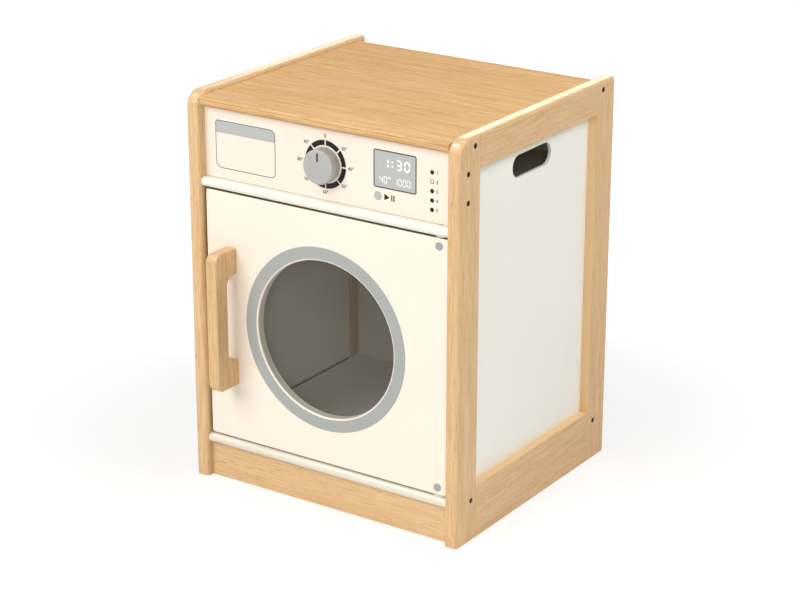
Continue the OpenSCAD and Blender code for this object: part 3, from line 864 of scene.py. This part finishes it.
@dataclass
class Boards(SubAssembly):
    """The boards between the side frames, with the plinth and the back.

    Attributes:
        gap_shade_width: How far the painted shade along a white board's underside reaches, which darkens the
            gap below it.
        nose_shade_depth: Depth of the painted shade that makes a white board's nose darker and creamier than
            its lacquer.
        highlight_band_h: From the worktop's upper face down to where its front edge is painted darker, which
            leaves a painted highlight band above.
        groove_top, groove_bottom: From that face down to the fine groove's two sides.
        shade_h: Height of the painted shade on the lipping's lower part.
    """

    gap_shade_width: float = 0.35 * MM
    nose_shade_depth: float = 16.0 * MM
    highlight_band_h: float = 4.2 * MM
    groove_top: float = 2.8 * MM
    groove_bottom: float = 3.6 * MM
    shade_h: float = 3.4 * MM

    def board(self, name: str, nose_shade_colour: Colour) -> Lacquer:
        """Lacquer for a board, with painted shade on its nose and along its underside."""
        low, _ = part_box(name)
        # Painted shade: the nose is darker than the rest of the board.
        nose = Strip(Axis.Y, low.y - MM, low.y + self.nose_shade_depth, nose_shade_colour)
        # Painted shade along the underside, which darkens the gap below the board.
        under = Strip.about(Axis.Z, low.z, self.gap_shade_width, GAP_SHADE_BROWN)
        return Lacquer(WHITE.colour, strips=(nose, under))

    def worktop(self) -> Beech:
        """Oiled beech; along its front edge a painted highlight band at the top, with a lipping's groove in
        it, and painted shade on the lower part.
        """
        low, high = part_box("top_board")
        lipping = (
            # The board below the top band is painted a little darker, so the band reads as a painted
            # highlight.
            Strip(Axis.Z, low.z - MM, high.z - self.highlight_band_h, GLUE_AND_SHADE, share=0.1),
            Strip(Axis.Z, high.z - self.groove_bottom, high.z - self.groove_top, GLUE_AND_SHADE, share=0.5),
            # Painted shade on the lipping's lower part.
            Strip(Axis.Z, low.z - MM, low.z + self.shade_h, GLUE_AND_SHADE, share=0.18),
        )
        pale, deep = (242, 202, 151), (211, 164, 109)
        return Beech(Axis.X, 12.0, pale, deep, roughness=0.6, coat=0.0, sheen_level=0.0, strips=lipping)

    def finishes(self) -> dict[str, Finish]:
        """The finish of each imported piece."""
        return {
            "top_board": self.worktop(),
            "middle_board": self.board("middle_board", MIDDLE_NOSE_SHADE),
            "bottom_board": self.board("bottom_board", BOTTOM_NOSE_SHADE),
            "board_dowels": BARE_WOOD,
            "plinth": Beech(Axis.X, 15.0),
            "plinth_dowels": BARE_WOOD,
            "back_panel": WHITE,
            "back_panel_screws": STEEL,
            "upper_hinge_bush": NYLON,
            "lower_hinge_bush": NYLON,
            "catch_housing": NYLON,
            "catch_magnet": FERRITE,
            "catch_pole_plates": STEEL,
            "catch_screws": STEEL,
            "knob_washer": STEEL,
            "knob_felt_disc": FELT,
        }


@dataclass(frozen=True)
class SegmentDigits:
    """Digits in seven straight bars with pointed ends, as on a clock display.

    Attributes:
        height: Height of a digit, in millimetres.
        width: Width of a digit.
        stroke: Thickness of a bar.
        pitch: From one digit to the next.
        GAP: Room at a bar's end, as a share of the stroke.
        BARS: The bars of each digit, a to g.
        ENDS: The two ends of each bar, in halves of the digit's width and height.
    """

    height: float
    width: float
    stroke: float
    pitch: float

    GAP = 0.08
    BARS = {"0": "abcdef", "1": "bc", "3": "abcdg", "4": "bcfg", "°": "abfg"}
    ENDS = {
        "a": ((-1, 1), (1, 1)),
        "b": ((1, 1), (1, 0)),
        "c": ((1, 0), (1, -1)),
        "d": ((-1, -1), (1, -1)),
        "e": ((-1, 0), (-1, -1)),
        "f": ((-1, 1), (-1, 0)),
        "g": ((-1, 0), (1, 0)),
    }

    def bar(self, letter: str) -> np.ndarray:
        """The outline of one bar: a strip whose two ends come to a point.

        Args:
            letter: a to g, clockwise from the top bar, with g in the middle.

        Returns:
            Its six corners, about the digit's middle.
        """
        half = ((self.width - self.stroke) / 2, (self.height - self.stroke) / 2)
        start, end = np.array(self.ENDS[letter], float) * half
        along = (end - start) / np.linalg.norm(end - start)
        across = np.array([-along[1], along[0]]) * self.stroke / 2
        gap = self.GAP * self.stroke
        start, end = start + along * gap, end - along * gap
        shoulder = along * self.stroke / 2
        near, far = start + shoulder, end - shoulder
        return np.stack([start, near + across, far + across, end, far - across, near - across])

    def digit(self, bed: PrintBed, name: str, digit: str) -> list[Piece]:
        """Prints one digit about the origin of the face."""
        return [
            bed.filled(f"{name}_{letter}", self.bar(letter), PRINT_WHITE, layer=2)
            for letter in self.BARS[digit]
        ]


@dataclass
class ControlPanel(SubAssembly):
    """The control panel and the prints on it, in millimetres from the panel's middle.

    The numbers on the display stand at places from its upper left corner, and the degree sign from the heat.
    """

    drawer_middle: Flat = (-116.2, -1.0)
    drawer_size: Flat = (89.3, 59.7)
    drawer_corners: tuple[float, ...] = (7.5, 4.5, 9.0, 7.5)
    drawer_band_h: float = 14.5
    drawer_line: float = 1.0
    sharp: float = 0.2
    display_middle: Flat = (98.6, 8.1)
    display_size: Flat = (59.3, 45.8)
    display_corner: float = 3.0
    display_line: float = 1.5
    large: SegmentDigits = SegmentDigits(13.0, 8.6, 2.4, 11.2)
    small: SegmentDigits = SegmentDigits(8.8, 5.0, 1.2, 6.0)
    degree: SegmentDigits = SegmentDigits(4.6, 3.6, 0.9, 0.0)
    time_at: Flat = (26.8, -15.2)
    heat_at: Flat = (10.6, -35.2)
    spin_at: Flat = (30.6, -35.2)
    degree_at: Flat = (11.7, 2.2)
    time_dot_up: float = 2.6
    time_dot_place: float = -0.05
    start_middle: Flat = (75.0, -24.9)
    start_r: float = 5.5
    play_middle: Flat = (88.0, -24.8)
    play_h: float = 8.0
    play_shape: Flat = (0.85, 0.92)
    pause_w: float = 1.7
    pause_gaps: Flat = (2.2, 5.2)
    lamp_x: float = 149.4
    lamp_top: float = 15.9
    lamp_pitch: float = 11.1
    lamp_r: float = 2.7
    lamp_ring: float = 0.9
    lamp_count: int = 5
    lit_lamp: int = 1
    lamp_number_gap: float = 2.6
    lamp_number_h: float = 4.2
    dial_inner_r: float = 23.0
    dial_outer_r: float = 29.3
    dial_gap: float = 1.8
    dial_numbers: tuple[str, ...] = ("0", "30°", "40°", "50°", "60°", "70°", "80°", "90°")
    number_r: float = 32.0
    number_h: float = 4.4
    corner_shade_h: float = 0.7 * MM

    def __post_init__(self) -> None:
        """Finds the panel's face and the knob's axis."""
        low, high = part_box("control_panel")
        knob_low, knob_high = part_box("program_knob")
        self.bed = PrintBed((low.x + high.x) / 2, low.y, (low.z + high.z) / 2, "cabinet")
        self.dial = PrintBed((knob_low.x + knob_high.x) / 2, low.y, (knob_low.z + knob_high.z) / 2, "cabinet")

    def finishes(self) -> dict[str, Finish]:
        """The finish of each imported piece."""
        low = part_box("control_panel")[0].z
        # Painted shade in the corner where the panel's face meets the middle board.
        corner_shade = Strip(Axis.Z, low - MM, low + self.corner_shade_h, CORNER_SHADE_GREY, share=0.7)
        return {"control_panel": Lacquer(PANEL_CREAM, strips=(corner_shade,))}

    def prints(self) -> list[Piece]:
        """Makes the prints on the pieces."""
        groups = (self.drawer, self.dial_ring, self.dial_scale, self.display, self.start_button, self.lamps)
        return [piece for group in groups for piece in group()]

    def drawer(self) -> list[Piece]:
        """The soap drawer: a thin outline, and a grey band across its upper end."""
        bed = self.bed.moved(*self.drawer_middle)
        inner_size, inner_corners = framed(self.drawer_size, self.drawer_corners, self.drawer_line)
        outer = rounded_box(self.drawer_size, self.drawer_corners)
        inner = rounded_box(inner_size, inner_corners)
        corners = (*inner_corners[:2], self.sharp, self.sharp)
        band = rounded_box((inner_size[0], self.drawer_band_h), corners)
        band_bed = bed.moved(0.0, (inner_size[1] - self.drawer_band_h) / 2)
        return [
            bed.band("drawer_outline", inner, outer, LINE_GREY),
            band_bed.filled("drawer_band", band, SOFT_GREY),
        ]

    def dial_ring(self) -> list[Piece]:
        """The black ring round the knob, cut into eight by narrow gaps."""
        count = len(self.dial_numbers)
        pieces = []
        for number in range(count):
            start, end = (math.tau * (number + side) / count for side in (0, 1))
            outlines = []
            for radius in (self.dial_inner_r, self.dial_outer_r):
                half_gap = math.asin(self.dial_gap / 2 / radius)
                outlines.append(arc(radius, start + half_gap, end - half_gap, steps=17))
            pieces.append(self.dial.band(f"dial_ring_{number + 1}", *outlines, BLACK, closed=False))
        return pieces

    def dial_scale(self) -> list[Piece]:
        """The numbers round the ring, clockwise from the top."""
        pieces = []
        for number, text in enumerate(self.dial_numbers):
            angle = math.tau * number / len(self.dial_numbers)
            right, up = math.sin(angle), math.cos(angle)
            on_axis = abs(right) < 0.1
            align = "CENTER" if on_axis else "LEFT" if right > 0 else "RIGHT"
            lift = self.number_h / 2 if on_axis else 0.0
            at = (right * self.number_r, up * (self.number_r + lift))
            name = f"dial_number_{number + 1}"
            pieces.append(self.dial.moved(*at).words(name, text, self.number_h, align, NUMBER_GREY))
        return pieces

    def display(self) -> list[Piece]:
        """The display: a grey field in a dark line, with the time, the heat and the spin speed."""
        bed = self.bed.moved(*self.display_middle)
        width, height = self.display_size
        corners = [self.display_corner] * 4
        outer = rounded_box(self.display_size, corners)
        inner = rounded_box(*framed(self.display_size, corners, self.display_line))
        pieces = [
            bed.filled("display_field", inner, SOFT_GREY),
            bed.band("display_frame", inner, outer, DARK_GREY),
        ]
        corner = bed.moved(-width / 2, height / 2)
        time_bed = corner.moved(*self.time_at)
        for place, digit in ((-0.87, "1"), (0.75, "3"), (1.75, "0")):
            digit_bed = time_bed.moved(place * self.large.pitch, 0.0)
            pieces += self.large.digit(digit_bed, f"time_{digit}", digit)
        dot = rounded_box([self.large.stroke] * 2, [self.sharp] * 4, steps=3)
        for row, up in (("upper", self.time_dot_up), ("lower", -self.time_dot_up)):
            dot_bed = time_bed.moved(self.time_dot_place * self.large.pitch, up)
            pieces.append(dot_bed.filled(f"time_dot_{row}", dot, PRINT_WHITE, layer=2))
        heat_bed = corner.moved(*self.heat_at)
        for place, digit in enumerate("40"):
            digit_bed = heat_bed.moved(place * self.small.pitch, 0.0)
            pieces += self.small.digit(digit_bed, f"heat_{digit}", digit)
        pieces += self.degree.digit(heat_bed.moved(*self.degree_at), "heat_degree", "°")
        spin_bed = corner.moved(*self.spin_at)
        for place, digit in enumerate("1000"):
            digit_bed = spin_bed.moved(place * self.small.pitch, 0.0)
            pieces += self.small.digit(digit_bed, f"spin_{place}", digit)
        return pieces

    def start_button(self) -> list[Piece]:
        """The start button: a grey dot, and a triangle and two bars for run and pause."""
        start = self.bed.moved(*self.start_middle)
        play = self.bed.moved(*self.play_middle)
        half = self.play_h / 2
        tip, bar_share = self.play_shape
        triangle = np.array([(-half, -half), (half * tip, 0.0), (-half, half)])
        pieces = [
            start.filled("start_dot", circle(self.start_r, steps=48), SOFT_GREY),
            play.filled("run_mark", triangle, BLACK),
        ]
        bar = rounded_box((self.pause_w, self.play_h * bar_share), [self.sharp] * 4, steps=3)
        for number, gap in enumerate(self.pause_gaps):
            pieces.append(play.moved(half + gap, 0.0).filled(f"pause_mark_{number + 1}", bar, BLACK))
        return pieces

    def lamps(self) -> list[Piece]:
        """The column of lamps, one of which is a ring, and the numbers beside them."""
        pieces = []
        for number in range(self.lamp_count):
            bed = self.bed.moved(self.lamp_x, self.lamp_top - number * self.lamp_pitch)
            outer = circle(self.lamp_r, steps=32)
            name = f"lamp_{number + 1}"
            if number == self.lit_lamp:
                inner = circle(self.lamp_r - self.lamp_ring, steps=32)
                pieces.append(bed.band(name, inner, outer, NUMBER_GREY))
            else:
                pieces.append(bed.filled(name, outer, BLACK))
            label = bed.moved(self.lamp_r + self.lamp_number_gap, 0.0)
            text = str(number + 1)
            name = f"lamp_number_{text}"
            pieces.append(label.words(name, text, self.lamp_number_h, "LEFT", NUMBER_GREY))
        return pieces


@dataclass
class Door(SubAssembly):
    """The porthole door with its window, handle and hinge pins, and the grey ring printed on it.

    Attributes:
        ring_inner_r, ring_outer_r: The ring's radii, in millimetres.
        gap_shade_width: How far the painted shade on the door's edges reaches round to the faces, which
            darkens the gaps round the door.
        porthole_r: The porthole's radius.
        bore_front, bore_back: From the door's two faces to the grey band on the porthole's wall.
    """

    ring_inner_r: float = 101.4
    ring_outer_r: float = 116.7
    gap_shade_width: float = 0.7 * MM
    porthole_r: float = 99.5 * MM
    bore_front: float = 2.2 * MM
    bore_back: float = 5.0 * MM

    def __post_init__(self) -> None:
        """Finds the door's front face and the porthole's axis."""
        pane_low, pane_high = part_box("window_pane")
        middle = (pane_low + pane_high) / 2
        self.bed = PrintBed(middle.x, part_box("door_panel")[0].y, middle.z, "door")

    def finishes(self) -> dict[str, Finish]:
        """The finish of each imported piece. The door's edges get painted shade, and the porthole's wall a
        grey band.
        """
        low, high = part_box("door_panel")
        axis = (self.bed.x, self.bed.z)
        front, back = low.y + self.bore_front, high.y - self.bore_back
        # The four edge strips are painted shade that darkens the gaps round the door.
        edges = (
            Strip.about(Axis.X, low.x, self.gap_shade_width, GAP_SHADE_BROWN),
            Strip.about(Axis.X, high.x, self.gap_shade_width, GAP_SHADE_BROWN),
            Strip.about(Axis.Z, high.z, self.gap_shade_width, GAP_SHADE_BROWN),
            Strip(Axis.Z, low.z - self.gap_shade_width, low.z + self.gap_shade_width / 2, GAP_SHADE_BROWN),
            Bore(axis, self.porthole_r, front, back, PORTHOLE_GREY),
        )
        return {
            "door_panel": Lacquer(DOOR_CREAM, strips=edges),
            "window_pane": SmokedAcrylic(),
            "window_pane_screws": STEEL,
            "door_handle": Beech(Axis.Z, 19.0, pale=(229, 192, 144), deep=(207, 163, 112)),
            "handle_screws": DARK_STEEL,
            "upper_pivot_pin": STEEL,
            "lower_pivot_pin": STEEL,
            "pin_locking_screws": DARK_STEEL,
            "hinge_caps": CAP_GREY,
            "strike_plate": STEEL,
            "strike_plate_screw": DARK_STEEL,
        }

    def prints(self) -> list[Piece]:
        """Makes the prints on the pieces."""
        inner, outer = circle(self.ring_inner_r), circle(self.ring_outer_r)
        return [self.bed.band("porthole_ring", inner, outer, RING_GREY)]


@dataclass
class Knob(SubAssembly):
    """The programme knob, with the mark on its face. Sizes are in millimetres."""

    mark_size: Flat = (2.3, 10.0)
    mark_inset: float = 4.0
    mark_corner: float = 0.3

    def finishes(self) -> dict[str, Finish]:
        """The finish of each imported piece."""
        return {"program_knob": KNOB_GREY, "knob_insert": BRASS, "knob_bolt": STEEL}

    def prints(self) -> list[Piece]:
        """Makes the prints on the pieces."""
        low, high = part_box("program_knob")
        top = (high.z - low.z) / 2 / MM - self.mark_inset - self.mark_size[1] / 2
        bed = PrintBed((low.x + high.x) / 2, low.y, (low.z + high.z) / 2, "knob").moved(0.0, top)
        return [bed.filled("knob_mark", rounded_box(self.mark_size, [self.mark_corner] * 4, steps=3), BLACK)]


# ---- Studio ----


@dataclass(frozen=True)
class Softbox:
    """A soft rectangular lamp that points at the middle of the object.

    Attributes:
        name: Its name.
        place: Where it hangs.
        size: Its width and height.
        power: Its power, in watts.
        tint: Its colour, from 0 to 255.
        only_gloss: Whether only glossy surfaces show its light.
    """

    name: str
    place: Place
    size: Flat
    power: float
    tint: Colour = (255, 255, 255)
    only_gloss: bool = False

    def hang(self) -> None:
        """Hangs the lamp."""
        data = bpy.data.lights.new(self.name, "AREA")
        data.shape, data.energy = "RECTANGLE", self.power
        data.size, data.size_y = self.size
        data.color = linear(self.tint)[:3]
        lamp = put(self.name, data)
        low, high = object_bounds()
        lamp.location = self.place
        lamp.rotation_euler = ((low + high) / 2 - lamp.location).to_track_quat("-Z", "Y").to_euler()
        lamp.visible_diffuse = not self.only_gloss


@dataclass
class Studio:
    """A pale floor, soft lights and the camera.

    Attributes:
        camera_place: Where the camera stands.
        camera_turn: Its Euler angles, in degrees.
        lens: Its focal length in millimetres, on a 36 mm sensor.
        floor_size: Side of the floor.
        floor_white: How much light the floor throws back.
        floor_glow: How bright the camera sees it away from the object.
        sky: Level of the even light from all round.
        floor_share: How much of the floor's shade the camera sees near the object.
        shade_reach: Between which distances from the object that shade fades out, in metres.
        lamps: The soft lamps.
    """

    camera_place: Place = (1.5132, -2.2367, 1.2228)
    camera_turn: Place = (69.73, -0.08, 33.976)
    lens: float = 104.13
    floor_size: float = 16.0
    floor_white: float = 0.86
    floor_glow: float = 1.15
    sky: float = 0.2
    floor_share: float = 0.4
    shade_reach: Flat = (0.3, 0.9)
    lamps: tuple[Softbox, ...] = (
        Softbox("front_light", (-1.05, -3.12, 2.8), (2.7, 2.7), 124.0),
        Softbox("right_light", (1.55, -2.2, 1.5), (1.0, 1.0), 13.0),
        Softbox("side_light", (2.1, 0.36, 2.55), (1.4, 1.4), 47.0),
        Softbox("back_light", (-1.2, 3.0, 1.9), (2.4, 1.2), 38.0, tint=(255, 248, 226), only_gloss=True),
        Softbox("edge_light", (-1.2, -0.85, 2.4), (0.6, 0.35), 40.0, only_gloss=True),
    )

    def build(self) -> None:
        """Makes the studio."""
        bpy.context.scene.view_settings.view_transform = "Standard"
        self.camera()
        self.floor()
        self.world()
        for lamp in self.lamps:
            lamp.hang()
        LOG.info("studio: camera, floor and %d lights", len(self.lamps))

    def camera(self) -> None:
        """Sets the camera."""
        data = bpy.data.cameras.new("camera")
        data.lens, data.sensor_width = self.lens, 36.0
        camera = put("camera", data)
        camera.location = self.camera_place
        camera.rotation_euler = [math.radians(angle) for angle in self.camera_turn]
        bpy.context.scene.camera = camera

    def floor(self) -> None:
        """Lays the floor: matt white, which the camera sees mostly as plain white with faint shade."""
        half = self.floor_size / 2
        mesh = bpy.data.meshes.new("floor")
        corners = [(-half, -half, 0), (half, -half, 0), (half, half, 0), (-half, half, 0)]
        mesh.from_pydata(corners, [], [(0, 1, 2, 3)])
        floor = put("floor", mesh)
        floor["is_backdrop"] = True
        material = bpy.data.materials.new("floor")
        material.use_nodes = True
        mesh.materials.append(material)
        tree = NodeTree(material.node_tree)
        matt = tree.add("BsdfDiffuse", {"Color": (*[self.floor_white] * 3, 1.0)})
        glow = tree.add("Emission", {"Color": FULL_WHITE, "Strength": self.floor_glow})
        place = tree.add("TexCoord").outputs["Object"]
        away = tree.add("VectorMath", {0: place}, operation="LENGTH").outputs["Value"]
        near = tree.math("SUBTRACT", 1.0, tree.step(away, *self.shade_reach))
        plain = tree.math("SUBTRACT", 1.0, tree.math("MULTIPLY", near, self.floor_share))
        seen = tree.math("MULTIPLY", tree.add("LightPath").outputs["Is Camera Ray"], plain)
        mixed = tree.add("MixShader", {0: seen, 1: matt.outputs[0], 2: glow.outputs[0]})
        tree.add("OutputMaterial", {"Surface": mixed.outputs[0]})

    def world(self) -> None:
        """Lights the scene evenly. The camera, gloss and clear pieces see plain white."""
        world = bpy.data.worlds.new("world")
        bpy.context.scene.world = world
        world.use_nodes = True
        tree = NodeTree(world.node_tree)
        rays = tree.add("LightPath").outputs
        seen = tree.math("MAXIMUM", rays["Is Camera Ray"], rays["Is Glossy Ray"])
        seen = tree.math("MAXIMUM", seen, rays["Is Transmission Ray"])
        strength = tree.math("MULTIPLY_ADD", seen, 1 - self.sky, self.sky)
        light = tree.add("Background", {"Color": FULL_WHITE, "Strength": strength})
        tree.add("OutputWorld", {"Surface": light.outputs[0]})


def main() -> None:
    """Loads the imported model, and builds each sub-assembly and the studio."""
    logging.basicConfig(level=logging.INFO, format="%(message)s")
    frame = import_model()
    for part in (SideFrames(), Boards(), ControlPanel(), Door(), Knob()):
        part.build(frame["nodes"])
    Studio().build()


if __name__ == "__main__":
    main()
